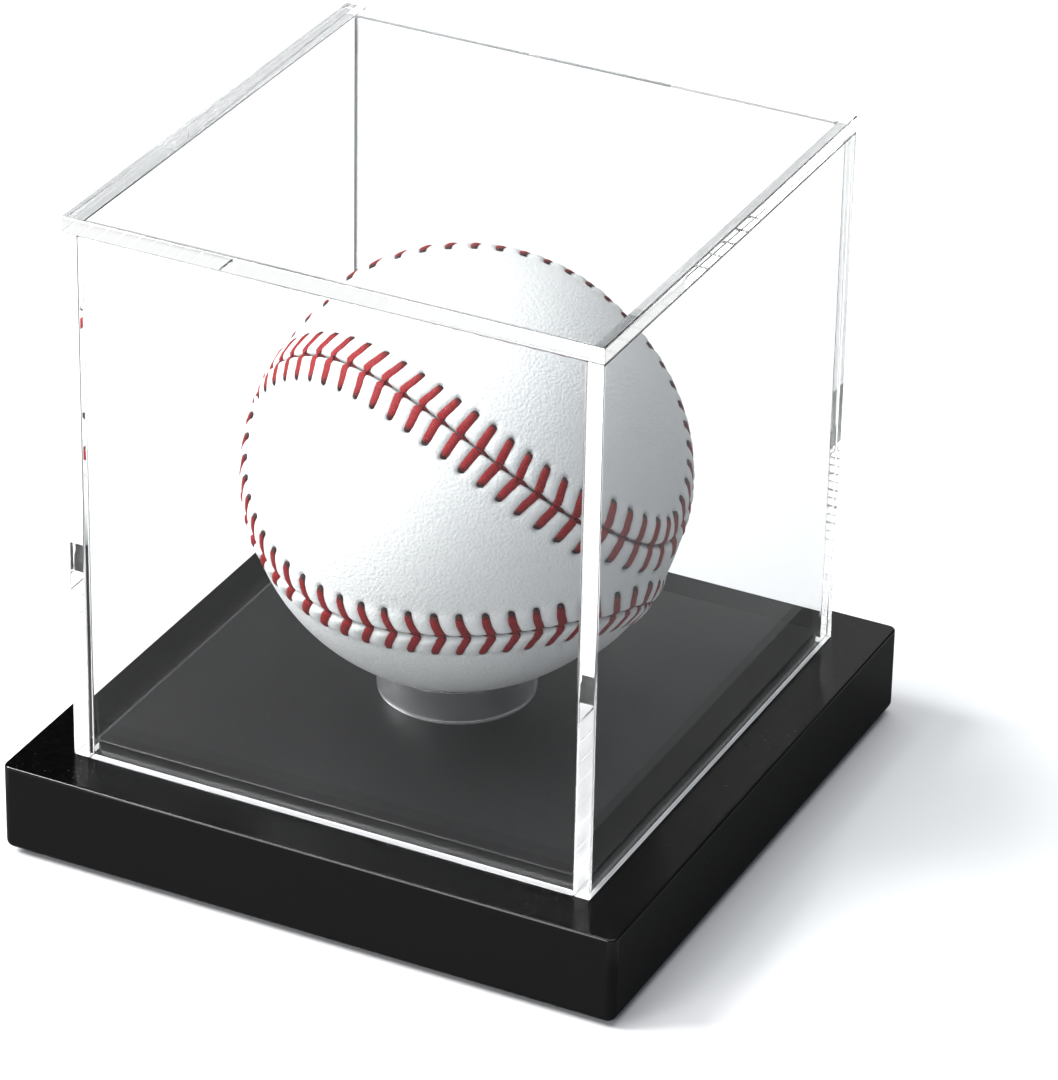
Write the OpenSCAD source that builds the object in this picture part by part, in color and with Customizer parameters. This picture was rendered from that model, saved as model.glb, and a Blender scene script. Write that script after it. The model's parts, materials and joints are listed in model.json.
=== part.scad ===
// Display case for one baseball: a dark lacquered base with a raised panel,
// a clear ring that the ball sits in, and a clear cover that lifts straight off.
// Millimetres. Origin at the bottom centre, +Z up, front face towards -Y.

/* [Base] */
// Side of the square plinth
base_w = 116; // [112:1:126]
// Height of the plinth block
plinth_h = 16.4; // [12:0.2:24]
// Radius of the plinth's upright corners
plinth_corner_r = 1.5; // [0.5:0.5:4]
// Height of the raised panel inside the cover
riser_h = 2.8; // [1.5:0.1:5]
// Diameter of each bumper foot
foot_d = 10; // [6:1:14]
// Height of each bumper foot
foot_h = 1; // [0.6:0.2:2]
// Distance of each foot's centre from the plinth's sides
foot_inset = 10; // [8:1:20]

/* [Cover] */
// Outer side of the square cover
cover_w = 98; // [94:1:106]
// Outer height of the cover
cover_h = 102; // [92:1:120]
// Thickness of the clear sheet
sheet = 3; // [2:0.5:4]
// Gap between the raised panel and the cover, each side
riser_gap = 0.4; // [0.2:0.1:1]

/* [Ball seat] */
// Outer diameter of the clear ring
ring_od = 28; // [24:1:34]
// Wall of the clear ring
ring_wall = 2; // [1.5:0.5:3]
// Height of the clear ring
ring_h = 6.3; // [4:0.1:10]
// Gap between the ball and the ring's edge
seat_gap = 0.1; // [0.05:0.05:0.3]

/* [Ball] */
// Radius of the ball over the leather
ball_r = 36.9; // [36.4:0.1:37.4]
// Thickness of the leather
leather_t = 1.3; // [1:0.1:1.6]
// Thickness of the fine cotton winding under the leather
cotton_t = 0.5; // [0.3:0.1:0.8]
// Outer radius of the white wool winding
white_r = 33; // [32.4:0.1:33.6]
// Outer radius of the inner grey wool winding
grey_inner_r = 31.2; // [30:0.1:31.8]
// Outer radius of the red rubber shell
red_rubber_r = 17.5; // [17:0.1:18]
// Outer radius of the black rubber shell
black_rubber_r = 14; // [13:0.1:15]
// Radius of the cork centre
cork_r = 10.3; // [9.5:0.1:11]

/* [Seam] */
// Shape of the seam: nearer 0.5 is a narrower waist between the two lobes
seam_a = 0.6; // [0.58:0.01:0.68]
// How much closer the lobes lie on the front of the ball than on its back
seam_crowd = 0.36; // [0:0.02:0.4]
// Direction on the ball in which the lobes lie closest
seam_crowd_at = -66; // [-90:1:90]
// Turn of the ball in its seat
ball_turn = [-110, 36, -96];
// Number of stitches along the seam
stitches = 108; // [88:4:108]
// Length of one arm of a stitch
stitch_len = 4.6; // [3.5:0.1:5]
// Width of the thread
thread_w = 0.9; // [0.6:0.1:1.1]
// Thickness of the thread where it lies on the leather
thread_t = 0.4; // [0.3:0.05:0.5]
// Lean of a stitch's arms from square to the seam
stitch_lean = 22; // [10:1:30]

/* [Hidden] */

plinth_top = foot_h + plinth_h;
riser_top = plinth_top + riser_h;
riser_w = cover_w - 2 * (sheet + riser_gap);
riser_corner_r = 0.8;
wall_h = cover_h - sheet;
ring_r = ring_od / 2;
ring_bore_r = ring_r - ring_wall;
ring_top = riser_top + ring_h;
ball_z = ring_top + sqrt(ball_r * ball_r - ring_bore_r * ring_bore_r) + seat_gap;
leather_in_r = ball_r - leather_t;
grey_outer_r = leather_in_r - cotton_t;
foot_at = base_w / 2 - foot_inset;
foot_bevel = 0.4;

// Seam region: sections across the lobed panel, and how far the cutter reaches out
sections = 48;
reach = 1.3 * ball_r;
// Steps of the table that spaces the stitches evenly
table_steps = 360;
// Start of a stitch's arm from the middle of the seam, and its lift off the leather
stitch_start = 0.35;
stitch_lift = 0.12;

// Point of the seam on a ball of radius 1, for t in degrees round the seam
function seam_point(t) =
    let (b = 1 - seam_a,
         x = seam_a * cos(t) + b * cos(3 * t),
         y = seam_a * sin(t) - b * sin(3 * t),
         z = 2 * sqrt(seam_a * b) * sin(2 * t),
         h = norm([x, y]),
         p = atan2(y, x),
         q = p - seam_crowd * (180 / PI) * sin(p - seam_crowd_at))
    [h * cos(q), h * sin(q), z];

function unit(v) = v / norm(v);

// Length along the seam against t, for spacing the stitches
seam_table = [
    for (i = 0, s = 0; i <= table_steps;
         s = s + ball_r * norm(seam_point(i + 1) - seam_point(i)), i = i + 1)
        [s, i]
];
seam_length = seam_table[table_steps][0];

module rounded_square(w, r) {
    inner = w - 2 * r;
    square([w, inner], center = true);
    square([inner, w], center = true);
    for (x = [-1, 1], y = [-1, 1])
        translate([x * inner / 2, y * inner / 2]) circle(r = r, $fn = 48);
}

module plinth() {
    color([0.03, 0.03, 0.035])
        translate([0, 0, foot_h])
            linear_extrude(plinth_h) rounded_square(base_w, plinth_corner_r);
}

module riser_panel() {
    color([0.16, 0.16, 0.165])
        translate([0, 0, plinth_top])
            linear_extrude(riser_h) rounded_square(riser_w, riser_corner_r);
}

module foot(x, y) {
    color([0.1, 0.1, 0.1])
        translate([x * foot_at, y * foot_at, 0])
            rotate_extrude($fn = 64)
                polygon([
                    [0, 0],
                    [foot_d / 2 - foot_bevel, 0],
                    [foot_d / 2, foot_bevel],
                    [foot_d / 2, foot_h],
                    [0, foot_h]
                ]);
}

module ball_ring() {
    color([0.85, 0.88, 0.9, 0.5])
        translate([0, 0, riser_top])
            difference() {
                cylinder(h = ring_h, r = ring_r, $fn = 96);
                translate([0, 0, -1]) cylinder(h = ring_h + 2, r = ring_bore_r, $fn = 96);
            }
}

// Wall between the two side walls: -1 is the front, 1 the back
module cross_wall(side) {
    color([0.9, 0.94, 0.95, 0.3])
        translate([0, side * (cover_w - sheet) / 2, plinth_top + wall_h / 2])
            cube([cover_w - 2 * sheet, sheet, wall_h], center = true);
}

// Wall as deep as the cover: -1 is the left, 1 the right
module side_wall(side) {
    color([0.9, 0.94, 0.95, 0.3])
        translate([side * (cover_w - sheet) / 2, 0, plinth_top + wall_h / 2])
            cube([sheet, cover_w, wall_h], center = true);
}

module cover_top() {
    color([0.9, 0.94, 0.95, 0.3])
        translate([0, 0, plinth_top + cover_h - sheet / 2])
            cube([cover_w, cover_w, sheet], center = true);
}

module in_ball() {
    translate([0, 0, ball_z]) rotate(ball_turn) children();
}

module shell(outer_r, inner_r) {
    difference() {
        sphere(r = outer_r, $fn = 96);
        sphere(r = inner_r, $fn = 96);
    }
}

// Solid angle that the first leather panel covers, from the ball's centre outwards
module lobed_sector() {
    step = 180 / sections;
    // Both edges of the panel and its middle, from one lobe's end to the other's
    left = [for (j = [0 : sections]) seam_point(-45 + step * j)];
    right = [for (j = [0 : sections]) seam_point(315 - step * j)];
    inner = [for (j = [1 : sections - 1]) [left[j], unit(left[j] + right[j]), right[j]]];
    last = 3 * (sections - 1) + 2;
    points = concat(
        [[0, 0, 0], left[0] * reach],
        [for (row = inner) each [for (p = row) p * reach]],
        [left[sections] * reach]
    );
    function at(j, side) = (j == 0) ? 1 : (j == sections) ? last : 3 * j - 1 + side;
    faces = concat(
        [for (j = [0 : sections - 1]) [0, at(j, 0), at(j + 1, 0)]],
        [for (j = [0 : sections - 1]) [0, at(j + 1, 2), at(j, 2)]],
        [for (j = [1 : sections - 1], s = [0, 1]) [at(j, s), at(j, s + 1), at(j + 1, s + 1)]],
        [for (j = [0 : sections - 2], s = [0, 1]) [at(j, s), at(j + 1, s + 1), at(j + 1, s)]]
    );
    polyhedron(points, faces, convexity = 10);
}

module leather_panel_a() {
    color([0.93, 0.93, 0.92])
        in_ball() intersection() {
            shell(ball_r, leather_in_r);
            lobed_sector();
        }
}

module leather_panel_b() {
    color([0.9, 0.9, 0.89])
        in_ball() difference() {
            shell(ball_r, leather_in_r);
            lobed_sector();
        }
}

// One arm of a stitch, from the middle of the seam outwards to one side
module stitch_arm(t, side) {
    up = unit(seam_point(t));
    along = unit(seam_point(t - 0.5) - seam_point(t + 0.5));
    across = side * cross(along, up);
    out = across * cos(stitch_lean) + along * sin(stitch_lean);
    wide = cross(up, out);
    middle = up * (ball_r + stitch_lift) + out * (stitch_start + stitch_len / 2);
    multmatrix([
        [out[0], wide[0], up[0], middle[0]],
        [out[1], wide[1], up[1], middle[1]],
        [out[2], wide[2], up[2], middle[2]]
    ])
        translate([-stitch_len / 2, -thread_w / 2, 0])
            cube([stitch_len, thread_w, thread_t]);
}

module stitching() {
    color([0.7, 0.1, 0.12])
        in_ball()
            for (i = [0 : stitches - 1], side = [-1, 1])
                stitch_arm(lookup(seam_length * i / stitches, seam_table), side);
}

module winding(outer_r, inner_r, tint) {
    color(tint) in_ball() shell(outer_r, inner_r);
}

module cork_centre() {
    color([0.72, 0.52, 0.33]) in_ball() sphere(r = cork_r, $fn = 96);
}

plinth();
riser_panel();
foot(-1, -1);  // foot_front_left
foot(1, -1);  // foot_front_right
foot(-1, 1);  // foot_back_left
foot(1, 1);  // foot_back_right
ball_ring();
cross_wall(-1);  // cover_front
cross_wall(1);  // cover_back
side_wall(-1);  // cover_left
side_wall(1);  // cover_right
cover_top();
leather_panel_a();
leather_panel_b();
stitching();
winding(leather_in_r, grey_outer_r, [0.95, 0.94, 0.9]);  // cotton_winding
winding(grey_outer_r, white_r, [0.55, 0.56, 0.58]);  // grey_winding_outer
winding(white_r, grey_inner_r, [0.92, 0.91, 0.88]);  // white_winding
winding(grey_inner_r, red_rubber_r, [0.5, 0.51, 0.54]);  // grey_winding_inner
winding(red_rubber_r, black_rubber_r, [0.7, 0.12, 0.1]);  // red_rubber_shell
winding(black_rubber_r, cork_r, [0.07, 0.07, 0.07]);  // black_rubber_shell
cork_centre();
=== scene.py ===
"""Looks of a display case for one baseball: lacquered base, clear cover, ring seat and a stitched ball."""

import json
import math
import random

import bmesh
import bpy
from mathutils import Euler, Matrix, Vector, kdtree


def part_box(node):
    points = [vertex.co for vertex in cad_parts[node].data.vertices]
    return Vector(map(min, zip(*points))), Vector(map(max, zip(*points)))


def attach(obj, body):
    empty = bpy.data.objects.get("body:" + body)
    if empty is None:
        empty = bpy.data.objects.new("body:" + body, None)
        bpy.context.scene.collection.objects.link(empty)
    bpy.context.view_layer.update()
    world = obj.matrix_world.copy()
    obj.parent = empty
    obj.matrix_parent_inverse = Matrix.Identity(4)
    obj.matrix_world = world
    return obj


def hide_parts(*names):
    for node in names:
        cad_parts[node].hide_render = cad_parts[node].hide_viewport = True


bl_info = {
    "name": "Baseball Display Case",
    "version": (1, 0, 0),
    "blender": (4, 5, 0),
    "location": "View3D > Sidebar > Display Case",
    "description": "Builds the base, clear cover, ring seat and stitched ball of a display case",
    "category": "Object",
}

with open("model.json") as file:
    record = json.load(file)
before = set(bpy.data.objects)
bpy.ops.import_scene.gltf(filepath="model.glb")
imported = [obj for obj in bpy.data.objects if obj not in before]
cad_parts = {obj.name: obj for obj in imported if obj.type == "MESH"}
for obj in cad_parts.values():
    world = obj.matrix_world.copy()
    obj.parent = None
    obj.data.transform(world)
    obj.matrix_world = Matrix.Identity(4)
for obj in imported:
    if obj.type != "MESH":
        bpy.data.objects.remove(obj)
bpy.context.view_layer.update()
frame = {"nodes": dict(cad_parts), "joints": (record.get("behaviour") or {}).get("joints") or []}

COVER_PANELS = ("cover_front", "cover_back", "cover_left", "cover_right", "cover_top")
FEET = ("foot_front_left", "foot_front_right", "foot_back_left", "foot_back_right")
BALL_CENTRE = Vector(next(j["pos_m"] for j in frame["joints"] if j["name"] == "ball_turn"))
MM = 0.001

# Leather beside the seam, in millimetres across the seam or along it
RIDGE_START = 0.7
RIDGE_END = 4.4
VALLEY_HALF = 0.8
GROOVE_HALF = 0.32
GROOVE_DEPTH = 0.55

# Widths beside the seam where the leather's mesh is made finer, once for each
REFINED_BANDS = (9 * MM, 6.3 * MM)

DUST_COLOUR = (0.3, 0.3, 0.3, 1)
# Painted shade: the leather in the seam's groove, beside the arms and in the needle holes is darkened
# towards this colour
SEAM_SHADE = (0.045, 0.022, 0.02, 1)
# Painted shade: the thread where it dives into a hole, and the strand that lies in the seam, are darkened
# towards this colour
THREAD_SHADE_COLOUR = (0.02, 0.004, 0.004, 1)


# ---------------------------------------------------------------- settings


class CaseBaseSettings(bpy.types.PropertyGroup):
    corner_radius: bpy.props.FloatProperty(
        name="Corner Radius", description="Radius of the plinth's upright corners",
        default=1.5 * MM, min=0.0005, max=0.004, unit="LENGTH")
    top_edge: bpy.props.FloatProperty(
        name="Top Edge", description="Round on the plinth's top edge",
        default=0.45 * MM, min=0.0002, max=0.002, unit="LENGTH")
    bottom_edge: bpy.props.FloatProperty(
        name="Bottom Edge", description="Round on the plinth's bottom edge",
        default=1.5 * MM, min=0.0005, max=0.004, unit="LENGTH")
    riser_edge: bpy.props.FloatProperty(
        name="Raised Panel Edge", description="Round on the raised panel's top edge",
        default=0.3 * MM, min=0.0001, max=0.001, unit="LENGTH")
    lacquer: bpy.props.FloatVectorProperty(
        name="Lacquer", description="Colour of the plinth's lacquer",
        default=(0.0012, 0.0012, 0.0013), size=3, min=0, max=1, subtype="COLOR")
    # Painted light and shade: the plinth's sides take this colour and its top the much darker lacquer
    # colour, by which way each face points
    satin: bpy.props.FloatVectorProperty(
        name="Lighter Sides", description="Colour of the plinth's sides",
        default=(0.0095, 0.0095, 0.0097), size=3, min=0, max=1, subtype="COLOR")
    riser: bpy.props.FloatVectorProperty(
        name="Raised Panel", description="Colour of the raised panel",
        default=(0.0062, 0.0062, 0.0065), size=3, min=0, max=1, subtype="COLOR")
    rubber: bpy.props.FloatVectorProperty(
        name="Feet", description="Colour of the bumper feet",
        default=(0.03, 0.03, 0.03), size=3, min=0, max=1, subtype="COLOR")


class CaseCoverSettings(bpy.types.PropertyGroup):
    edge: bpy.props.FloatProperty(
        name="Polished Edge", description="Round on the sheet's polished edges",
        default=0.25 * MM, min=0.00005, max=0.001, unit="LENGTH")
    sawn_clear: bpy.props.FloatProperty(
        name="Foot Clarity", description="Part of the light that passes the sawn edges under the cover",
        default=0.5, min=0, max=1, subtype="FACTOR")
    joint_gap: bpy.props.FloatProperty(
        name="Joint Line", description="Thickness of the cement line between two sheets",
        default=0.03 * MM, min=0.00001, max=0.0002, unit="LENGTH")
    ring_edge: bpy.props.FloatProperty(
        name="Ring Edge", description="Round on the ring seat's rims",
        default=0.3 * MM, min=0.0001, max=0.001, unit="LENGTH")
    tint: bpy.props.FloatVectorProperty(
        name="Sheet Tint", description="Colour of the clear sheet",
        default=(0.985, 0.992, 0.992), size=3, min=0, max=1, subtype="COLOR")
    ring_tint: bpy.props.FloatVectorProperty(
        name="Ring Tint", description="Colour of the ring seat",
        default=(0.93, 0.94, 0.945), size=3, min=0, max=1, subtype="COLOR")


class CaseBallSettings(bpy.types.PropertyGroup):
    radius: bpy.props.FloatProperty(
        name="Ball Radius", description="Radius over the leather",
        default=36.9 * MM, min=0.036, max=0.038, unit="LENGTH")
    leather: bpy.props.FloatProperty(
        name="Leather", description="Thickness of the leather",
        default=1.25 * MM, min=0.001, max=0.0016, unit="LENGTH")
    turn: bpy.props.FloatVectorProperty(
        name="Turn", description="How the ball lies in its seat",
        default=(math.radians(-110), math.radians(36), math.radians(-96)), size=3, subtype="EULER")
    seam_shape: bpy.props.FloatProperty(
        name="Seam Shape", description="Nearer 0.5 is a narrower waist between the lobes",
        default=0.6, min=0.58, max=0.68)
    seam_crowd: bpy.props.FloatProperty(
        name="Seam Crowding", description="How much closer the lobes lie on the ball's front",
        default=0.36, min=0, max=0.4)
    seam_crowd_at: bpy.props.FloatProperty(
        name="Crowding Direction", description="Where on the ball the lobes lie closest",
        default=math.radians(-66), subtype="ANGLE")
    stitches: bpy.props.IntProperty(
        name="Stitches", description="Number of stitches along the seam", default=108, min=60, max=120)
    stitch_start: bpy.props.FloatProperty(
        name="First Stitch", description="Where the first stitch lies, in stitches from the seam's start",
        default=0.35, min=0, max=1)
    stitch_reach: bpy.props.FloatProperty(
        name="Stitch Reach", description="How far from the seam an arm of a stitch ends",
        default=4.7 * MM, min=0.003, max=0.006, unit="LENGTH")
    stitch_sweep: bpy.props.FloatProperty(
        name="Stitch Sweep", description="How far along the seam an arm's end lies from its start",
        default=1.75 * MM, min=0, max=0.003, unit="LENGTH")
    sweep_dip: bpy.props.FloatProperty(
        name="Sweep Dip", description="How much the sweep falls off, and turns back, round one stitch",
        default=1.65, min=0, max=2)
    sweep_dip_at: bpy.props.FloatProperty(
        name="Dip Stitch", description="Stitch where the sweep falls off the most",
        default=76.5, min=0, max=108)
    sweep_dip_width: bpy.props.FloatProperty(
        name="Dip Width", description="How many stitches the fall in sweep spreads to each side",
        default=6, min=1, max=20)
    thread_width: bpy.props.FloatProperty(
        name="Thread Width", description="Width of the thread",
        default=1.72 * MM, min=0.0005, max=0.002, unit="LENGTH")
    thread_height: bpy.props.FloatProperty(
        name="Thread Height", description="Thickness of the thread",
        default=0.75 * MM, min=0.0003, max=0.001, unit="LENGTH")
    ridge: bpy.props.FloatProperty(
        name="Ridge", description="Height of the puckered leather beside the seam",
        default=0.72 * MM, min=0, max=0.001, unit="LENGTH")
    leather_colour: bpy.props.FloatVectorProperty(
        name="Leather Colour", description="Colour of the leather",
        default=(0.86, 0.865, 0.86), size=3, min=0, max=1, subtype="COLOR")
    thread_colour: bpy.props.FloatVectorProperty(
        name="Thread Colour", description="Colour of the thread",
        default=(0.28, 0.009, 0.013), size=3, min=0, max=1, subtype="COLOR")


class CaseStageSettings(bpy.types.PropertyGroup):
    azimuth: bpy.props.FloatProperty(
        name="Azimuth", description="Camera's direction round the object from the front",
        default=math.radians(26), subtype="ANGLE")
    elevation: bpy.props.FloatProperty(
        name="Elevation", description="Camera's height above the horizon",
        default=math.radians(29.2), subtype="ANGLE")
    roll: bpy.props.FloatProperty(
        name="Roll", description="Camera's roll", default=math.radians(1.18), subtype="ANGLE")
    distance: bpy.props.FloatProperty(
        name="Distance", description="Camera's distance from its target",
        default=0.952, min=0.3, unit="LENGTH")
    target: bpy.props.FloatVectorProperty(
        name="Target", description="Point that the camera looks at",
        default=(0.0127, 0, 0.0516), size=3, subtype="XYZ")
    lens: bpy.props.FloatProperty(
        name="Lens", description="Focal length in millimetres", default=186.2, min=20)
    floor_size: bpy.props.FloatProperty(
        name="Floor Size", description="Side of the floor", default=1.5, min=1, unit="LENGTH")
    bounces: bpy.props.IntProperty(
        name="Bounces", description="Bounces that light may take inside the clear sheets", default=32, min=4)
    key_power: bpy.props.FloatProperty(
        name="Key Light", description="Power of the key light", default=32, min=0, unit="POWER")
    front_power: bpy.props.FloatProperty(
        name="Front Light", description="Power of the front light", default=7, min=0, unit="POWER")
    overhead_power: bpy.props.FloatProperty(
        name="Overhead Light", description="Power of the overhead light", default=20, min=0, unit="POWER")
    back_power: bpy.props.FloatProperty(
        name="Back Light", description="Power of the low light behind the object",
        default=0.3, min=0, unit="POWER")
    strip_power: bpy.props.FloatProperty(
        name="Strip Light", description="Power of the narrow light that picks out the edges",
        default=2.6, min=0, unit="POWER")
    floor: bpy.props.FloatVectorProperty(
        name="Floor", description="Colour of the floor",
        default=(0.9, 0.9, 0.9), size=3, min=0, max=1, subtype="COLOR")


SETTINGS = {
    "case_base": CaseBaseSettings,
    "case_cover": CaseCoverSettings,
    "case_ball": CaseBallSettings,
    "case_stage": CaseStageSettings,
}


# ---------------------------------------------------------------- objects


def add_object(name, bm, material):
    """Makes the bmesh a scene object with one material and frees the bmesh."""
    mesh = bpy.data.meshes.new(name)
    bm.to_mesh(mesh)
    bm.free()
    mesh.materials.append(material)
    piece = bpy.data.objects.new(name, mesh)
    bpy.context.scene.collection.objects.link(piece)
    return piece


def place(piece, body, slot, *nodes):
    """Makes the piece ride on a CAD body, in place of CAD nodes; the slot is not used."""
    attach(piece, body)
    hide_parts(*nodes)


def finish_node(node, material):
    """Gives a CAD node that stays its own material."""
    mesh = frame["nodes"][node].data
    mesh.materials.clear()
    mesh.materials.append(material)


def box_bmesh(low, high):
    bm = bmesh.new()
    bmesh.ops.create_cube(bm, size=1.0)
    bmesh.ops.scale(bm, vec=high - low, verts=bm.verts)
    bmesh.ops.translate(bm, vec=(low + high) / 2, verts=bm.verts)
    return bm


def round_edges(bm, edges, radius, segments):
    return bmesh.ops.bevel(
        bm, geom=edges, offset=radius, offset_type="OFFSET", segments=segments,
        profile=0.5, affect="EDGES", clamp_overlap=True, material=-1)


def edges_at_height(bm, z):
    return [e for e in bm.edges if all(abs(v.co.z - z) < 1e-6 for v in e.verts)]


def upright_edges(bm):
    return [e for e in bm.edges if abs(e.verts[0].co.z - e.verts[1].co.z) > 1e-4]


def smooth_rounds(bm, largest_flat):
    """Shades the small faces of the rounds smooth and leaves the broad faces flat."""
    for face in bm.faces:
        face.smooth = face.calc_area() < largest_flat


# ---------------------------------------------------------------- shader groups


def new_group(name, inputs, outputs):
    group = bpy.data.node_groups.new(name, "ShaderNodeTree")
    for label, kind, default in inputs:
        socket = group.interface.new_socket(label, in_out="INPUT", socket_type=kind)
        socket.default_value = default
    for label, kind in outputs:
        group.interface.new_socket(label, in_out="OUTPUT", socket_type=kind)
    nodes = group.nodes
    return group, nodes.new("NodeGroupInput"), nodes.new("NodeGroupOutput")


def math_node(tree, operation, a, b=0.5, clamp=False):
    node = tree.nodes.new("ShaderNodeMath")
    node.operation = operation
    node.use_clamp = clamp
    for socket, value in zip(node.inputs, (a, b)):
        if isinstance(value, bpy.types.NodeSocket):
            tree.links.new(value, socket)
        else:
            socket.default_value = value
    return node.outputs[0]


def noise_node(tree, vector, scale, detail=4.0, roughness=0.55):
    node = tree.nodes.new("ShaderNodeTexNoise")
    node.inputs["Detail"].default_value = detail
    node.inputs["Roughness"].default_value = roughness
    tree.links.new(vector, node.inputs["Vector"])
    if isinstance(scale, bpy.types.NodeSocket):
        tree.links.new(scale, node.inputs["Scale"])
    else:
        node.inputs["Scale"].default_value = scale
    return node.outputs["Fac"]


def map_range(tree, value, low, high, to_low=0.0, to_high=1.0):
    node = tree.nodes.new("ShaderNodeMapRange")
    node.inputs["From Min"].default_value = low
    node.inputs["From Max"].default_value = high
    node.inputs["To Min"].default_value = to_low
    node.inputs["To Max"].default_value = to_high
    tree.links.new(value, node.inputs["Value"])
    return node.outputs["Result"]


def mix_colour(tree, factor, a, b):
    node = tree.nodes.new("ShaderNodeMix")
    node.data_type = "RGBA"
    for socket, value in zip((node.inputs[0], node.inputs[6], node.inputs[7]), (factor, a, b)):
        if isinstance(value, bpy.types.NodeSocket):
            tree.links.new(value, socket)
        else:
            socket.default_value = value
    return node.outputs[2]


def fine_surface_group():
    """Fine mottle and orange peel of a moulded or sprayed surface, with stray dust."""
    inputs = (
        ("Vector", "NodeSocketVector", (0, 0, 0)),
        ("Mottle Scale", "NodeSocketFloat", 900.0),
        ("Dust", "NodeSocketFloat", 0.5),
    )
    outputs = (("Mottle", "NodeSocketFloat"), ("Dust", "NodeSocketFloat"), ("Height", "NodeSocketFloat"))
    group, source, result = new_group("fine_surface", inputs, outputs)
    vector = source.outputs["Vector"]
    mottle = noise_node(group, vector, source.outputs["Mottle Scale"], 3.0)
    broad = noise_node(group, vector, 60.0, 2.0)
    speck = noise_node(group, vector, 2600.0, 1.0)
    specks = map_range(group, speck, 0.73, 0.8)
    patch = map_range(group, broad, 0.45, 0.7)
    dust = math_node(group, "MULTIPLY", math_node(group, "MULTIPLY", specks, patch), source.outputs["Dust"])
    group.links.new(mottle, result.inputs["Mottle"])
    group.links.new(dust, result.inputs["Dust"])
    group.links.new(math_node(group, "ADD", mottle, dust), result.inputs["Height"])
    return group


def leather_grain_group():
    """Pebbled grain of tawed leather: soft cells with fine creases between them."""
    inputs = (("Vector", "NodeSocketVector", (0, 0, 0)), ("Pebble Scale", "NodeSocketFloat", 1300.0))
    outputs = (("Height", "NodeSocketFloat"), ("Crease", "NodeSocketFloat"))
    group, source, result = new_group("leather_grain", inputs, outputs)
    vector = source.outputs["Vector"]
    cells = group.nodes.new("ShaderNodeTexVoronoi")
    cells.feature = "SMOOTH_F1"
    cells.inputs["Smoothness"].default_value = 0.6
    group.links.new(vector, cells.inputs["Vector"])
    group.links.new(source.outputs["Pebble Scale"], cells.inputs["Scale"])
    fine_scale = math_node(group, "MULTIPLY", source.outputs["Pebble Scale"], 1.7)
    fine = math_node(group, "MULTIPLY", noise_node(group, vector, fine_scale, 3.0, 0.6), 0.6)
    patches = map_range(group, noise_node(group, vector, 70.0, 2.0), 0.35, 0.65, 0.7, 1.0)
    dome = map_range(group, cells.outputs["Distance"], 0.0, 0.85, 0.7, 0.0)
    height = math_node(group, "MULTIPLY", math_node(group, "ADD", dome, fine), patches)
    group.links.new(height, result.inputs["Height"])
    group.links.new(map_range(group, cells.outputs["Distance"], 0.55, 0.95), result.inputs["Crease"])
    return group


def wound_yarn_group():
    """Yarn wound over a ball in crossing bands: height, and shade between the strands."""
    inputs = (("Vector", "NodeSocketVector", (0, 0, 0)), ("Strands", "NodeSocketFloat", 420.0))
    outputs = (("Height", "NodeSocketFloat"), ("Shade", "NodeSocketFloat"))
    group, source, result = new_group("wound_yarn", inputs, outputs)
    layers = []
    for index, turn in enumerate(((0.3, 0.2, 0.1), (1.2, -0.5, 0.9), (-0.8, 1.1, 2.0))):
        mapping = group.nodes.new("ShaderNodeMapping")
        mapping.inputs["Rotation"].default_value = turn
        group.links.new(source.outputs["Vector"], mapping.inputs["Vector"])
        wave = group.nodes.new("ShaderNodeTexWave")
        wave.inputs["Distortion"].default_value = 1.6
        wave.inputs["Detail"].default_value = 2.0
        group.links.new(source.outputs["Strands"], wave.inputs["Scale"])
        group.links.new(mapping.outputs["Vector"], wave.inputs["Vector"])
        band = noise_node(group, mapping.outputs["Vector"], 45.0 + 9 * index, 1.0)
        layers.append(math_node(group, "MULTIPLY", wave.outputs["Fac"], map_range(group, band, 0.45, 0.55)))
    height = math_node(group, "MAXIMUM", math_node(group, "MAXIMUM", layers[0], layers[1]), layers[2])
    group.links.new(height, result.inputs["Height"])
    group.links.new(map_range(group, height, 0.1, 0.7), result.inputs["Shade"])
    return group


GROUP_MAKERS = {
    "fine_surface": fine_surface_group,
    "leather_grain": leather_grain_group,
    "wound_yarn": wound_yarn_group,
}


def group_node(tree, name, vector, **values):
    """Places a shared shader group, which is built the first time it is asked for."""
    node = tree.nodes.new("ShaderNodeGroup")
    node.node_tree = bpy.data.node_groups.get(name) or GROUP_MAKERS[name]()
    tree.links.new(vector, node.inputs["Vector"])
    for label, value in values.items():
        node.inputs[label.replace("_", " ").title()].default_value = value
    return node


# ---------------------------------------------------------------- materials


def new_material(name, **values):
    """A material with a Principled BSDF whose sockets take the given values."""
    material = bpy.data.materials.new(name)
    material.use_nodes = True
    tree = material.node_tree
    shader = tree.nodes["Principled BSDF"]
    for label, value in values.items():
        shader.inputs[label.replace("_", " ")].default_value = value
    return material, tree, shader


def object_vector(tree):
    return tree.nodes.new("ShaderNodeTexCoord").outputs["Object"]


def add_bump(tree, shader, height, strength, distance):
    bump = tree.nodes.new("ShaderNodeBump")
    bump.inputs["Strength"].default_value = strength
    bump.inputs["Distance"].default_value = distance
    tree.links.new(height, bump.inputs["Height"])
    tree.links.new(bump.outputs["Normal"], shader.inputs["Normal"])


def rgba(colour, factor=1.0):
    return tuple(min(1.0, c * factor) for c in colour) + (1.0,)


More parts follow.
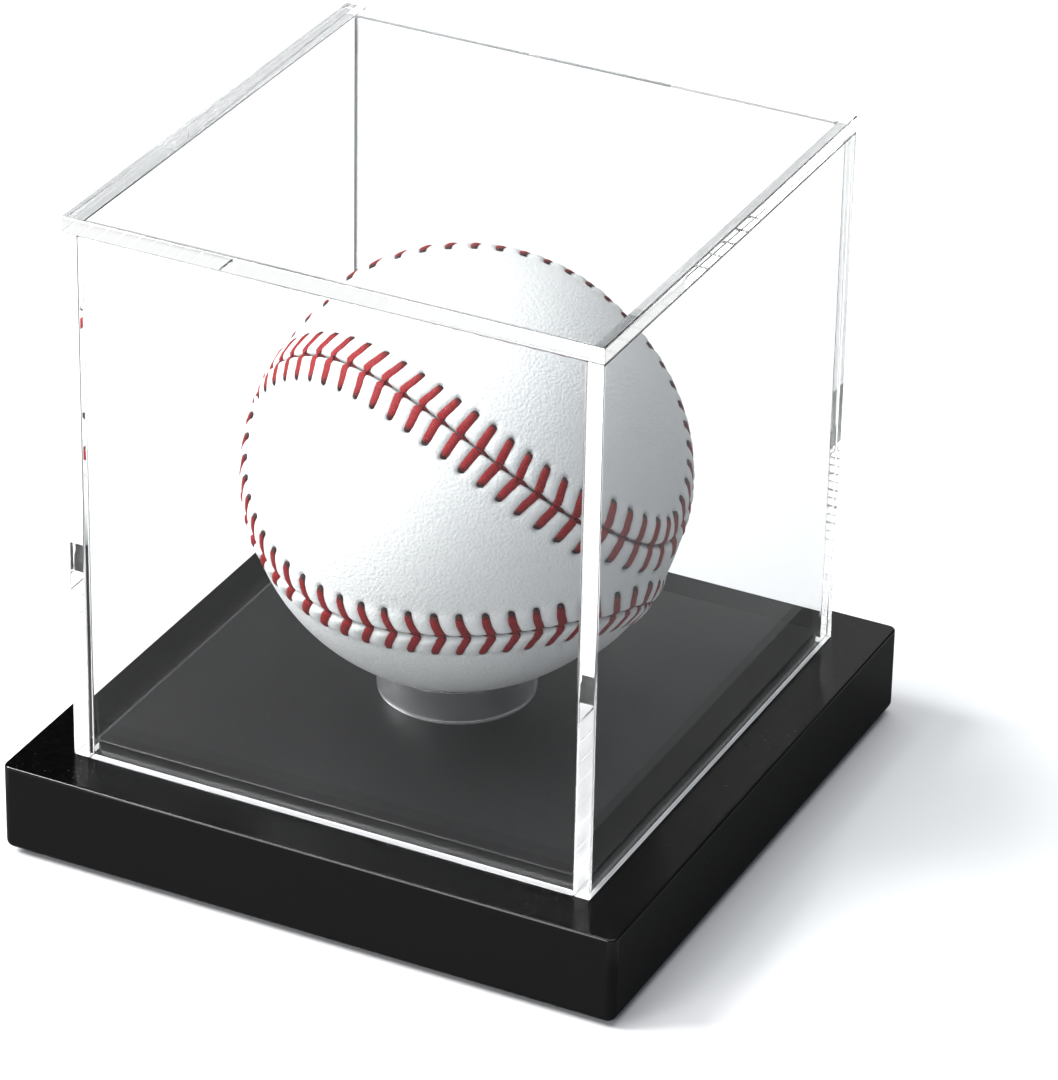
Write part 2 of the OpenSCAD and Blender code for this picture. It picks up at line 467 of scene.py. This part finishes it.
def surface_material(name, colour, mottle_scale, roughness, dust, bump, lift=1.35, specular=0.5):
    """A sprayed, moulded or rubbed solid colour with fine mottle, dust and orange peel."""
    material, tree, shader = new_material(name, Specular_IOR_Level=specular)
    fine = group_node(tree, "fine_surface", object_vector(tree), mottle_scale=mottle_scale, dust=dust)
    tone = map_range(tree, fine.outputs["Mottle"], 0.3, 0.7)
    mottled = mix_colour(tree, tone, rgba(colour, 1 / lift), rgba(colour, lift))
    dusty = mix_colour(tree, fine.outputs["Dust"], mottled, DUST_COLOUR)
    tree.links.new(dusty, shader.inputs["Base Color"])
    rough = map_range(tree, fine.outputs["Mottle"], 0.3, 0.7, roughness * 0.88, roughness * 1.12)
    dulled = math_node(tree, "ADD", rough, fine.outputs["Dust"], clamp=True)
    tree.links.new(dulled, shader.inputs["Roughness"])
    add_bump(tree, shader, fine.outputs["Height"], bump, 0.02 * MM)
    return material, tree, shader


def polish_edges(tree, shader, side_colour):
    """Colours a block's sides lighter than its top, by which way each face points (painted light and shade),
    and gives the rounds between its sides and top a bright coat.
    """
    split = tree.nodes.new("ShaderNodeSeparateXYZ")
    tree.links.new(tree.nodes.new("ShaderNodeTexCoord").outputs["Normal"], split.inputs[0])
    upward = split.outputs["Z"]
    colour = shader.inputs["Base Color"].links[0].from_socket
    top = map_range(tree, upward, 0.3, 0.8)
    tree.links.new(mix_colour(tree, top, side_colour, colour), shader.inputs["Base Color"])
    between = math_node(tree, "MULTIPLY", upward, math_node(tree, "SUBTRACT", 1.0, upward))
    tree.links.new(map_range(tree, between, 0.04, 0.1), shader.inputs["Coat Weight"])
    shader.inputs["Coat Roughness"].default_value = 0.06


def clear_material(name, tint, roughness, clear_part=1.0):
    """Clear sheet that refracts what is seen through it and lets the lamps' light pass."""
    material, tree, shader = new_material(
        name, Base_Color=rgba(tint), Roughness=roughness, IOR=1.49, Transmission_Weight=clear_part)
    clear = tree.nodes.new("ShaderNodeBsdfTransparent")
    clear.inputs["Color"].default_value = rgba(tint)
    path = tree.nodes.new("ShaderNodeLightPath")
    mix = tree.nodes.new("ShaderNodeMixShader")
    output = tree.nodes["Material Output"]
    passes = math_node(tree, "MAXIMUM", path.outputs["Is Shadow Ray"], path.outputs["Is Diffuse Ray"])
    tree.links.new(passes, mix.inputs[0])
    tree.links.new(shader.outputs[0], mix.inputs[1])
    tree.links.new(clear.outputs[0], mix.inputs[2])
    tree.links.new(mix.outputs[0], output.inputs["Surface"])
    return material


def leather_material(colour):
    material, tree, shader = new_material("white_leather", Specular_IOR_Level=0.4, Sheen_Weight=0.05)
    vector = object_vector(tree)
    grain = group_node(tree, "leather_grain", vector, pebble_scale=1900.0)
    # Painted shade from the seam: its groove, the valleys beside the arms and the needle holes
    seam = tree.nodes.new("ShaderNodeAttribute")
    seam.attribute_name = "seam_shade"
    tone = map_range(tree, noise_node(tree, vector, 55.0, 3.0), 0.3, 0.7)
    base = mix_colour(tree, tone, rgba(colour, 0.965), rgba(colour, 1.03))
    # Painted shade in the creases between the grain's cells
    crease_shade = math_node(tree, "MULTIPLY", grain.outputs["Crease"], 0.3)
    crease_shaded = mix_colour(tree, crease_shade, base, rgba(colour, 0.72))
    shaded = mix_colour(tree, seam.outputs["Fac"], crease_shaded, SEAM_SHADE)
    tree.links.new(shaded, shader.inputs["Base Color"])
    rough = map_range(tree, grain.outputs["Height"], 0.2, 1.0, 0.58, 0.42)
    tree.links.new(rough, shader.inputs["Roughness"])
    add_bump(tree, shader, grain.outputs["Height"], 0.9, 0.12 * MM)
    return material


def thread_material(colour):
    """Waxed two-ply thread: the plies twist along the piece's own UV map."""
    material, tree, shader = new_material("red_thread", Specular_IOR_Level=0.2)
    uv = tree.nodes.new("ShaderNodeUVMap")
    uv.uv_map = "thread"
    twist = tree.nodes.new("ShaderNodeTexWave")
    twist.bands_direction = "DIAGONAL"
    twist.inputs["Scale"].default_value = 1.6
    twist.inputs["Distortion"].default_value = 0.8
    tree.links.new(uv.outputs["UV"], twist.inputs["Vector"])
    fibre = noise_node(tree, uv.outputs["UV"], 9.0, 4.0, 0.7)
    # Painted light and shade: the thread is darker in the twist's grooves and lighter on its crests, which
    # the bump also raises
    ply = mix_colour(tree, twist.outputs["Fac"], rgba(colour, 0.72), rgba(colour, 1.12))
    fibrous = mix_colour(tree, map_range(tree, fibre, 0.45, 0.85, 0.0, 0.3), ply, rgba((0.55, 0.06, 0.05)))
    # Painted shade on the arms' ends where they dive into the holes, and on the strand that lies in the seam
    thread_shade = tree.nodes.new("ShaderNodeAttribute")
    thread_shade.attribute_name = "thread_shade"
    thread_shaded = mix_colour(tree, thread_shade.outputs["Fac"], fibrous, THREAD_SHADE_COLOUR)
    tree.links.new(thread_shaded, shader.inputs["Base Color"])
    tree.links.new(map_range(tree, fibre, 0.3, 0.8, 0.42, 0.68), shader.inputs["Roughness"])
    height = math_node(tree, "ADD", twist.outputs["Fac"], math_node(tree, "MULTIPLY", fibre, 0.5))
    add_bump(tree, shader, height, 0.6, 0.12 * MM)
    return material


def yarn_material(name, colour, strands):
    material, tree, shader = new_material(name, Sheen_Weight=0.3, Roughness=0.9)
    yarn = group_node(tree, "wound_yarn", object_vector(tree), strands=strands)
    shaded = mix_colour(tree, yarn.outputs["Shade"], rgba(colour, 0.45), rgba(colour, 1.1))
    tree.links.new(shaded, shader.inputs["Base Color"])
    add_bump(tree, shader, yarn.outputs["Height"], 0.8, 0.4 * MM)
    return material


def cork_material():
    """Pressed cork granules in a rubber binder."""
    material, tree, shader = new_material("cork", Roughness=0.85)
    grains = tree.nodes.new("ShaderNodeTexVoronoi")
    grains.inputs["Scale"].default_value = 700.0
    tree.links.new(object_vector(tree), grains.inputs["Vector"])
    tone = tree.nodes.new("ShaderNodeSeparateColor")
    tree.links.new(grains.outputs["Color"], tone.inputs["Color"])
    granule = mix_colour(tree, tone.outputs["Red"], (0.26, 0.13, 0.05, 1), (0.58, 0.36, 0.18, 1))
    binder = map_range(tree, grains.outputs["Distance"], 0.5, 0.8)
    tree.links.new(mix_colour(tree, binder, granule, (0.1, 0.05, 0.03, 1)), shader.inputs["Base Color"])
    add_bump(tree, shader, grains.outputs["Distance"], 0.6, 0.2 * MM)
    return material


# ---------------------------------------------------------------- ball seam


class Seam:
    """The closed seam of the ball, sampled finely, with even distance along it."""

    SAMPLES = 2880
    FAR = 0.15  # part of the radius past which the chord measures distance better

    def __init__(self, ball):
        self.ball = ball
        self.turn = Euler(ball.turn, "XYZ").to_matrix()
        step = math.tau / self.SAMPLES
        self.points = [self.point(step * i) for i in range(self.SAMPLES)]
        self.lengths = [0.0]
        for i in range(self.SAMPLES):
            chord = (self.points[(i + 1) % self.SAMPLES] - self.points[i]).length
            self.lengths.append(self.lengths[-1] + chord * ball.radius)
        self.tree = kdtree.KDTree(self.SAMPLES)
        for i, point in enumerate(self.points):
            self.tree.insert(point, i)
        self.tree.balance()
        self.pitch = self.lengths[-1] / ball.stitches

    def point(self, t):
        """Point of the seam on a ball of radius 1, turned as the ball lies."""
        a = self.ball.seam_shape
        b = 1 - a
        x = a * math.cos(t) + b * math.cos(3 * t)
        y = a * math.sin(t) - b * math.sin(3 * t)
        z = 2 * math.sqrt(a * b) * math.sin(2 * t)
        h = math.hypot(x, y)
        p = math.atan2(y, x)
        p -= self.ball.seam_crowd * math.sin(p - self.ball.seam_crowd_at)
        return self.turn @ Vector((h * math.cos(p), h * math.sin(p), z))

    def axes(self, i):
        """Outward, along and across directions at sample i; along is the way the stitches lean."""
        up = self.points[i % self.SAMPLES]
        along = (self.points[(i - 1) % self.SAMPLES] - self.points[(i + 1) % self.SAMPLES]).normalized()
        return up, along, along.cross(up)

    def sample_at(self, length):
        """Sample that lies this far along the seam."""
        low, high = 0, self.SAMPLES
        while high - low > 1:
            middle = (low + high) // 2
            if self.lengths[middle] <= length:
                low = middle
            else:
                high = middle
        return low

    def nearest(self, direction):
        """Signed distance across the seam, and distance along it, of a direction from the centre."""
        _, i, _ = self.tree.find(direction)
        up, along, across = self.axes(i)
        radius = self.ball.radius
        side = direction.dot(across)
        reach = abs(side)
        if reach > self.FAR:
            reach = max(reach, (direction - up).length * 0.999)
        distance = math.asin(min(1.0, reach)) * radius
        return math.copysign(distance, side), self.lengths[i] - direction.dot(along) * radius


def arm_shift(ball, across, stitch):
    """How far along the seam an arm has swept where it is this far across it."""
    part = min(1.0, abs(across) / ball.stitch_reach)
    dip = ball.sweep_dip * math.exp(-(((stitch - ball.sweep_dip_at) / ball.sweep_dip_width) ** 2))
    return ball.stitch_sweep * (1 - dip) * (1 - (1 - part) ** 2)


def from_stitch(ball, seam, across, along):
    """Distance from the centre line of the nearest arm, measured along the seam."""
    shift = arm_shift(ball, across, along / seam.pitch)
    phase = (along + shift) / seam.pitch - ball.stitch_start
    return abs(phase - round(phase)) * seam.pitch


def leather_height(ball, across, aside):
    """Height of the leather over the ball's radius: a groove at the seam, pillows between the arms."""
    across_mm = abs(across) / MM
    aside_mm = aside / MM
    rise = 1 - math.exp(-((across_mm / RIDGE_START) ** 2))
    fall = 1 / (1 + math.exp((across_mm - RIDGE_END) / 0.5))
    pillow = 1 - 0.8 * math.exp(-((aside_mm / VALLEY_HALF) ** 2))
    crown = 0.8 + 0.2 * min(1.0, aside_mm / 1.9)
    slope = 1.06 - 0.07 * across_mm
    groove = GROOVE_DEPTH * math.exp(-((across_mm / GROOVE_HALF) ** 2))
    return ball.ridge * rise * fall * pillow * crown * slope - groove * MM


def hole_amount(ball, across, aside):
    """1 in the needle hole where an arm ends, falling to 0 around it."""
    past = (abs(across) - ball.stitch_reach) / (0.55 * MM)
    return math.exp(-(past ** 2) - (aside / (0.6 * MM)) ** 2)


def leather_bmesh(seam, side):
    """One figure-of-eight leather panel: a ball cut along the seam, refined and puckered beside it."""
    ball = seam.ball
    bm = bmesh.new()
    bmesh.ops.create_icosphere(bm, subdivisions=6, radius=1.0)
    for band in REFINED_BANDS:
        near = [f for f in bm.faces if abs(seam.nearest(f.calc_center_median().normalized())[0]) < band]
        edges = list({e for f in near for e in f.edges})
        bmesh.ops.subdivide_edges(bm, edges=edges, cuts=1, use_grid_fill=True)
        bmesh.ops.triangulate(bm, faces=[f for f in bm.faces if len(f.verts) > 3])
        for vert in bm.verts:
            vert.co.normalize()
    drop = [f for f in bm.faces if seam.nearest(f.calc_center_median().normalized())[0] * side < 0]
    bmesh.ops.delete(bm, geom=drop, context="FACES")
    for vert in {v for e in bm.edges if e.is_boundary for v in e.verts}:
        vert.co = seam.points[seam.tree.find(vert.co)[1]]
    bmesh.ops.dissolve_degenerate(bm, dist=1e-4, edges=bm.edges)
    # Painted shade, darkest in the seam's groove, in the valleys beside the arms and in the needle holes
    shade = bm.verts.layers.float.new("seam_shade")
    for vert in bm.verts:
        across, along = seam.nearest(vert.co)
        aside = from_stitch(ball, seam, across, along)
        hole = hole_amount(ball, across, aside)
        inside = 1 / (1 + math.exp((abs(across) - ball.stitch_reach) / (0.3 * MM)))
        line = 0.85 * math.exp(-((across / (0.3 * MM)) ** 2))
        valley = 0.6 * inside * math.exp(-((aside / (0.8 * MM)) ** 2))
        vert[shade] = min(1.0, max(line, valley, 0.8 * hole))
        vert.co *= ball.radius + leather_height(ball, across, aside) - 0.45 * MM * hole
    for face in bm.faces:
        face.smooth = True
    bmesh.ops.solidify(bm, geom=list(bm.faces), thickness=ball.leather)
    bmesh.ops.translate(bm, vec=BALL_CENTRE, verts=bm.verts)
    return bm


def strand_mesh():
    """Straight thread of length and thickness 1, with its turn and length in the UV map."""
    rings, sides = 7, 8
    bm = bmesh.new()
    bmesh.ops.create_circle(bm, segments=sides, radius=0.5)
    loop = list(bm.edges)
    for ring in range(1, rings):
        step = (math.cos(math.pi * (ring - 1) / (rings - 1)) - math.cos(math.pi * ring / (rings - 1))) / 2
        grown = bmesh.ops.extrude_edge_only(bm, edges=loop)["geom"]
        tops = [g for g in grown if isinstance(g, bmesh.types.BMVert)]
        bmesh.ops.translate(bm, vec=(0, 0, step), verts=tops)
        loop = [g for g in grown if isinstance(g, bmesh.types.BMEdge) and all(v in tops for v in g.verts)]
    bmesh.ops.holes_fill(bm, edges=[e for e in bm.edges if e.is_boundary], sides=sides)
    bmesh.ops.recalc_face_normals(bm, faces=bm.faces)
    uv = bm.loops.layers.uv.new("thread")
    for face in bm.faces:
        face.smooth = True
        turns = [math.atan2(c.vert.co.y, c.vert.co.x) / math.tau % 1.0 for c in face.loops]
        wraps = max(turns) - min(turns) > 0.5
        for corner, turn in zip(face.loops, turns):
            corner[uv].uv = (turn + (1.0 if wraps and turn < 0.5 else 0.0), corner.vert.co.z * 5)
    mesh = bpy.data.meshes.new("strand")
    bm.to_mesh(mesh)
    bm.free()
    return mesh


def thread_bmesh(seam):
    """All the stitches: each has two arms that dive into their holes, and a strand in the seam."""
    ball = seam.ball
    strand = strand_mesh()
    vary = random.Random(7)
    bm = bmesh.new()
    thread_shade = bm.verts.layers.float.new("thread_shade")
    for number in range(ball.stitches):
        at = (number + ball.stitch_start) * seam.pitch
        for side in (-1, 1, 0):
            start = len(bm.verts)
            bm.from_mesh(strand)
            bm.verts.ensure_lookup_table()
            size = vary.uniform(0.88, 1.1)
            sweep = vary.uniform(-0.12, 0.12) * MM
            for vert in bm.verts[start:]:
                if side:
                    lay_arm(seam, vert, at, side, size, sweep, thread_shade)
                else:
                    lay_crossing(seam, vert, at, thread_shade)
    bmesh.ops.recalc_face_normals(bm, faces=bm.faces)
    bmesh.ops.translate(bm, vec=BALL_CENTRE, verts=bm.verts)
    bpy.data.meshes.remove(strand)
    return bm


def on_ball(seam, at, across, shift, height):
    """Point this far across and back along the seam from a stitch, at a height over the ball."""
    radius = seam.ball.radius
    up, along, aside = seam.axes(seam.sample_at(at))
    reach = math.hypot(across, shift)
    out = (aside * across + along * shift) / reach if reach else along
    angle = reach / radius
    return (up * math.cos(angle) + out * math.sin(angle)) * (radius + height)


def lay_arm(seam, vert, at, side, size, sweep, thread_shade):
    """Lays one vertex of the straight strand along an arm, in its valley between the pillows."""
    ball = seam.ball
    x, y, z = vert.co
    across = 0.1 * MM + z * (ball.stitch_reach + 0.15 * MM)
    full = size * (0.6 + 0.4 * min(1.0, z / 0.12)) * (0.7 + 0.3 * min(1.0, (1 - z) / 0.1))
    taper = 1.14 - 0.42 * z
    dive = 0.7 * max(0.0, (z - 0.85) / 0.15) ** 2 + 0.45 * max(0.0, (0.12 - z) / 0.12) ** 2
    lift = leather_height(ball, max(across, 0.9 * MM), 0.0) + 0.3 * ball.thread_height - dive * MM
    stitch = at / seam.pitch
    further = across + 0.2 * MM
    middle = on_ball(seam, at, across * side, arm_shift(ball, across, stitch) + sweep * z, lift)
    ahead = on_ball(seam, at, further * side, arm_shift(ball, further, stitch) + sweep * z, lift)
    up = middle.normalized()
    wide = up.cross((ahead - middle).normalized())
    flat = y * ball.thread_height * (0.7 if y > 0 else 1.0)
    vert.co = middle + wide * x * ball.thread_width * taper * full + up * flat * full
    # Painted shade, growing where the arm dives into its hole
    vert[thread_shade] = max(0.0, (z - 0.74) / 0.2)


def lay_crossing(seam, vert, at, thread_shade):
    """Lays one vertex of the straight strand in the seam, from a stitch towards the next."""
    ball = seam.ball
    x, y, z = vert.co
    middle = on_ball(seam, at, (0.12 - 0.24 * z) * MM, (0.1 + 2.0 * z) * MM, (-0.12 - 0.5 * z * z) * MM)
    up = middle.normalized()
    along = seam.axes(seam.sample_at(at))[1]
    wide = up.cross(along).normalized()
    vert.co = middle + wide * x * 0.62 * ball.thread_width + up * y * 0.8 * ball.thread_height
    # Painted shade along the strand that lies down in the seam
    vert[thread_shade] = 0.35 + 0.4 * z


# ---------------------------------------------------------------- operators


class CASE_OT_plinth(bpy.types.Operator):
    """Lacquered block with rounded edges"""

    bl_idname = "case.plinth"
    bl_label = "Plinth"

    def execute(self, context):
        base = context.scene.case_base
        low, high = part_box("plinth")
        bm = box_bmesh(Vector(low), Vector(high))
        round_edges(bm, upright_edges(bm), base.corner_radius, 6)
        round_edges(bm, edges_at_height(bm, high[2]), base.top_edge, 4)
        round_edges(bm, edges_at_height(bm, low[2]), base.bottom_edge, 6)
        smooth_rounds(bm, 250 * MM * MM)
        lacquer, tree, shader = surface_material(
            "black_lacquer", base.lacquer, mottle_scale=700.0, roughness=0.2, dust=0.35, bump=0.35,
            lift=1.5, specular=0.12)
        polish_edges(tree, shader, rgba(base.satin))
        place(add_object("plinth_block", bm, lacquer), "base", "black_lacquer", "plinth")
        return {"FINISHED"}


class CASE_OT_riser(bpy.types.Operator):
    """Raised panel inside the cover"""

    bl_idname = "case.riser"
    bl_label = "Raised Panel"

    def execute(self, context):
        base = context.scene.case_base
        low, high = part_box("riser_panel")
        bm = box_bmesh(Vector(low), Vector(high))
        round_edges(bm, upright_edges(bm), 0.8 * MM, 4)
        round_edges(bm, edges_at_height(bm, high[2]), base.riser_edge, 4)
        smooth_rounds(bm, 100 * MM * MM)
        satin, _, _ = surface_material(
            "riser_black", base.riser, mottle_scale=1400.0, roughness=0.38, dust=0.5, bump=0.3,
            lift=1.2, specular=0.38)
        place(add_object("riser_plate", bm, satin), "base", "riser_black", "riser_panel")
        return {"FINISHED"}


class CASE_OT_feet(bpy.types.Operator):
    """Rubber bumpers under the plinth's corners"""

    bl_idname = "case.feet"
    bl_label = "Feet"

    def execute(self, context):
        rubber, _, _ = surface_material(
            "foot_rubber", context.scene.case_base.rubber, mottle_scale=1200.0, roughness=0.75, dust=0.6,
            bump=0.6)
        for node in FEET:
            finish_node(node, rubber)
        return {"FINISHED"}


class CASE_OT_ring(bpy.types.Operator):
    """Clear ring that the ball sits in, turned from its section"""

    bl_idname = "case.ring"
    bl_label = "Ring Seat"

    def execute(self, context):
        cover = context.scene.case_cover
        low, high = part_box("ball_ring")
        outer = (high[0] - low[0]) / 2
        inner = outer - 2 * MM
        bottom = low[2] + cover.joint_gap
        bm = bmesh.new()
        top = high[2]
        section = ((inner, 0, bottom), (outer, 0, bottom), (outer, 0, top), (inner, 0, top))
        corners = [bm.verts.new(corner) for corner in section]
        sides = [bm.edges.new((corners[i], corners[(i + 1) % 4])) for i in range(4)]
        bmesh.ops.spin(
            bm, geom=corners + sides, cent=(0, 0, 0), axis=(0, 0, 1), angle=math.tau,
            steps=128, use_merge=True, use_duplicate=False)
        bmesh.ops.remove_doubles(bm, verts=bm.verts, dist=1e-7)
        rims = [e for e in bm.edges if abs(e.verts[0].co.z - e.verts[1].co.z) < 1e-7
                and abs(e.verts[0].co.xy.length - e.verts[1].co.xy.length) < 1e-6]
        round_edges(bm, rims, cover.ring_edge, 3)
        bmesh.ops.recalc_face_normals(bm, faces=bm.faces)
        for face in bm.faces:
            face.smooth = abs(face.normal.z) < 0.95
        ring = add_object("seat_ring", bm, clear_material("clear_ring", cover.ring_tint, 0.18, 0.93))
        place(ring, "base", "clear_ring", "ball_ring")
        return {"FINISHED"}


class CASE_OT_cover(bpy.types.Operator):
    """Five clear sheets, cemented edge to face; the upright ones stand on sawn edges"""

    bl_idname = "case.cover"
    bl_label = "Cover"

    def execute(self, context):
        cover = context.scene.case_cover
        sheet = clear_material("clear_acrylic", cover.tint, 0.0)
        sawn = clear_material("acrylic_sawn", cover.tint, 0.12, cover.sawn_clear)
        gap = Vector((cover.joint_gap, cover.joint_gap, cover.joint_gap))
        for node in COVER_PANELS:
            low, high = (Vector(corner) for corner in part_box(node))
            bm = box_bmesh(low + gap, high - gap)
            round_edges(bm, list(bm.edges), cover.edge, 2)
            smooth_rounds(bm, 100 * MM * MM)
            for face in bm.faces:
                face.material_index = int(node != "cover_top" and face.normal.z < -0.9)
            piece = add_object(node.replace("cover", "sheet"), bm, sheet)
            piece.data.materials.append(sawn)
            place(piece, "cover", "clear_acrylic", node)
        return {"FINISHED"}


class CASE_OT_leather(bpy.types.Operator):
    """The two leather panels of the ball's cover"""

    bl_idname = "case.leather"
    bl_label = "Leather Panels"

    def execute(self, context):
        ball = context.scene.case_ball
        seam = Seam(ball)
        leather = leather_material(ball.leather_colour)
        for side, letter in ((1, "a"), (-1, "b")):
            panel = add_object("leather_" + letter, leather_bmesh(seam, side), leather)
            place(panel, "ball", "white_leather", "leather_panel_" + letter)
        return {"FINISHED"}


class CASE_OT_thread(bpy.types.Operator):
    """Red stitches along the seam"""

    bl_idname = "case.thread"
    bl_label = "Stitches"

    def execute(self, context):
        ball = context.scene.case_ball
        thread = add_object("seam_thread", thread_bmesh(Seam(ball)), thread_material(ball.thread_colour))
        place(thread, "ball", "red_thread", "stitching")
        return {"FINISHED"}


class CASE_OT_core(bpy.types.Operator):
    """Windings, rubber shells and cork inside the ball"""

    bl_idname = "case.core"
    bl_label = "Ball Core"

    def execute(self, context):
        grey = yarn_material("grey_wool", (0.26, 0.27, 0.29), 320.0)
        finish_node("cotton_winding", yarn_material("cotton_yarn", (0.82, 0.8, 0.74), 700.0))
        finish_node("grey_winding_outer", grey)
        finish_node("white_winding", yarn_material("white_wool", (0.8, 0.78, 0.72), 380.0))
        finish_node("grey_winding_inner", grey)
        red, _, _ = surface_material(
            "red_rubber", (0.42, 0.03, 0.025), mottle_scale=900.0, roughness=0.55, dust=0.2, bump=0.5)
        black, _, _ = surface_material(
            "black_rubber", (0.02, 0.02, 0.02), mottle_scale=900.0, roughness=0.6, dust=0.2, bump=0.5)
        finish_node("red_rubber_shell", red)
        finish_node("black_rubber_shell", black)
        finish_node("cork_centre", cork_material())
        return {"FINISHED"}


class CASE_OT_stage(bpy.types.Operator):
    """Floor, soft lights and camera"""

    bl_idname = "case.stage"
    bl_label = "Stage"

    def execute(self, context):
        stage = context.scene.case_stage
        bm = bmesh.new()
        bmesh.ops.create_grid(bm, x_segments=1, y_segments=1, size=stage.floor_size / 2)
        add_object("floor", bm, paper_material(stage.floor))
        context.scene.world = studio_world()
        soft_light("key", (-1.05, -0.45, 1.0), (0, 0, 0.05), (0.7, 0.7), stage.key_power)
        soft_light("front", (-0.5, -1.3, 0.55), (0, 0, 0.05), (0.6, 0.6), stage.front_power)
        soft_light("overhead", (0.0, 0.2, 1.8), (0, 0, 0), (1.8, 1.8), stage.overhead_power)
        soft_light("back", (-0.05, 0.6, 0.35), (0, 0, 0.03), (0.35, 0.2), stage.back_power)
        soft_light("strip", (-0.46, -0.59, 0.94), (0, 0, 0.05), (0.5, 0.05), stage.strip_power)
        context.scene.camera = make_camera(stage)
        context.scene.view_settings.view_transform = "Standard"
        for limit in ("max_bounces", "glossy_bounces", "transmission_bounces"):
            setattr(context.scene.cycles, limit, stage.bounces)
        return {"FINISHED"}


def ray_masks(tree):
    """1 for a ray that scattered off something matt, and 1 for one mirrored once or twice.

    Light that is piped along a clear sheet is mirrored many more times, and stays bright.
    """
    path = tree.nodes.new("ShaderNodeLightPath")
    once = math_node(tree, "MINIMUM", path.outputs["Glossy Depth"], 1.0)
    piped = map_range(tree, path.outputs["Glossy Depth"], 1.5, 4.0)
    mirrored = math_node(tree, "MULTIPLY", once, math_node(tree, "SUBTRACT", 1.0, piped))
    return path.outputs["Is Diffuse Ray"], mirrored


def lit_colour(tree, straight, scattered, mirrored):
    """Colour that the stage shows to straight, scattered and mirrored rays."""
    diffuse, mirror = ray_masks(tree)
    return mix_colour(tree, diffuse, mix_colour(tree, mirror, straight, mirrored), scattered)


def paper_material(colour):
    """White paper that clear and glossy surfaces mirror darker, as between black flags."""
    material, tree, shader = new_material("floor_paper", Roughness=0.95, Specular_IOR_Level=0.1)
    seen = lit_colour(tree, rgba(colour), rgba(colour, 0.5), rgba(colour, 0.15))
    tree.links.new(seen, shader.inputs["Base Color"])
    return material


def studio_world():
    """White room behind the flags."""
    world = bpy.data.worlds.new("studio")
    world.use_nodes = True
    tree = world.node_tree
    through = tree.nodes.new("ShaderNodeLightPath").outputs["Transmission Depth"]
    inside = math_node(tree, "COMPARE", through, 2.0)
    mirrored = mix_colour(tree, inside, (0.03, 0.03, 0.03, 1), (0.4, 0.4, 0.4, 1))
    seen = lit_colour(tree, (1, 1, 1, 1), (0.2, 0.22, 0.25, 1), mirrored)
    tree.links.new(seen, tree.nodes["Background"].inputs["Color"])
    return world


def soft_light(name, place_at, aim_at, size, power):
    data = bpy.data.lights.new(name, "AREA")
    data.shape = "RECTANGLE"
    data.size, data.size_y = size
    data.energy = power
    lamp = bpy.data.objects.new(name, data)
    bpy.context.scene.collection.objects.link(lamp)
    lamp.location = place_at
    lamp.rotation_euler = (Vector(aim_at) - Vector(place_at)).to_track_quat("-Z", "Y").to_euler()
    return lamp


def make_camera(stage):
    data = bpy.data.cameras.new("camera")
    data.lens = stage.lens
    camera = bpy.data.objects.new("camera", data)
    bpy.context.scene.collection.objects.link(camera)
    flat = math.cos(stage.elevation)
    back = Vector((
        math.sin(stage.azimuth) * flat, -math.cos(stage.azimuth) * flat, math.sin(stage.elevation)))
    look = (-back).to_track_quat("-Z", "Y").to_matrix() @ Matrix.Rotation(stage.roll, 3, "Z")
    camera.matrix_world = Matrix.Translation(Vector(stage.target) + back * stage.distance) @ look.to_4x4()
    return camera


class CASE_PT_panel(bpy.types.Panel):
    """Lists the pieces of the display case"""

    bl_label = "Display Case"
    bl_idname = "CASE_PT_panel"
    bl_space_type = "VIEW_3D"
    bl_region_type = "UI"
    bl_category = "Display Case"

    def draw(self, context):
        for operator in OPERATORS:
            self.layout.operator(operator.bl_idname)


OPERATORS = (
    CASE_OT_stage, CASE_OT_plinth, CASE_OT_riser, CASE_OT_feet, CASE_OT_ring,
    CASE_OT_leather, CASE_OT_thread, CASE_OT_core, CASE_OT_cover,
)


def register():
    for name, settings in SETTINGS.items():
        bpy.utils.register_class(settings)
        setattr(bpy.types.Scene, name, bpy.props.PointerProperty(type=settings))
    for operator in OPERATORS:
        bpy.utils.register_class(operator)
    bpy.utils.register_class(CASE_PT_panel)


def unregister():
    bpy.utils.unregister_class(CASE_PT_panel)
    for operator in reversed(OPERATORS):
        bpy.utils.unregister_class(operator)
    for name, settings in SETTINGS.items():
        delattr(bpy.types.Scene, name)
        bpy.utils.unregister_class(settings)


def main():
    register()
    for operator in OPERATORS:
        group, name = operator.bl_idname.split(".")
        getattr(getattr(bpy.ops, group), name)()


if __name__ == "__main__":
    main()
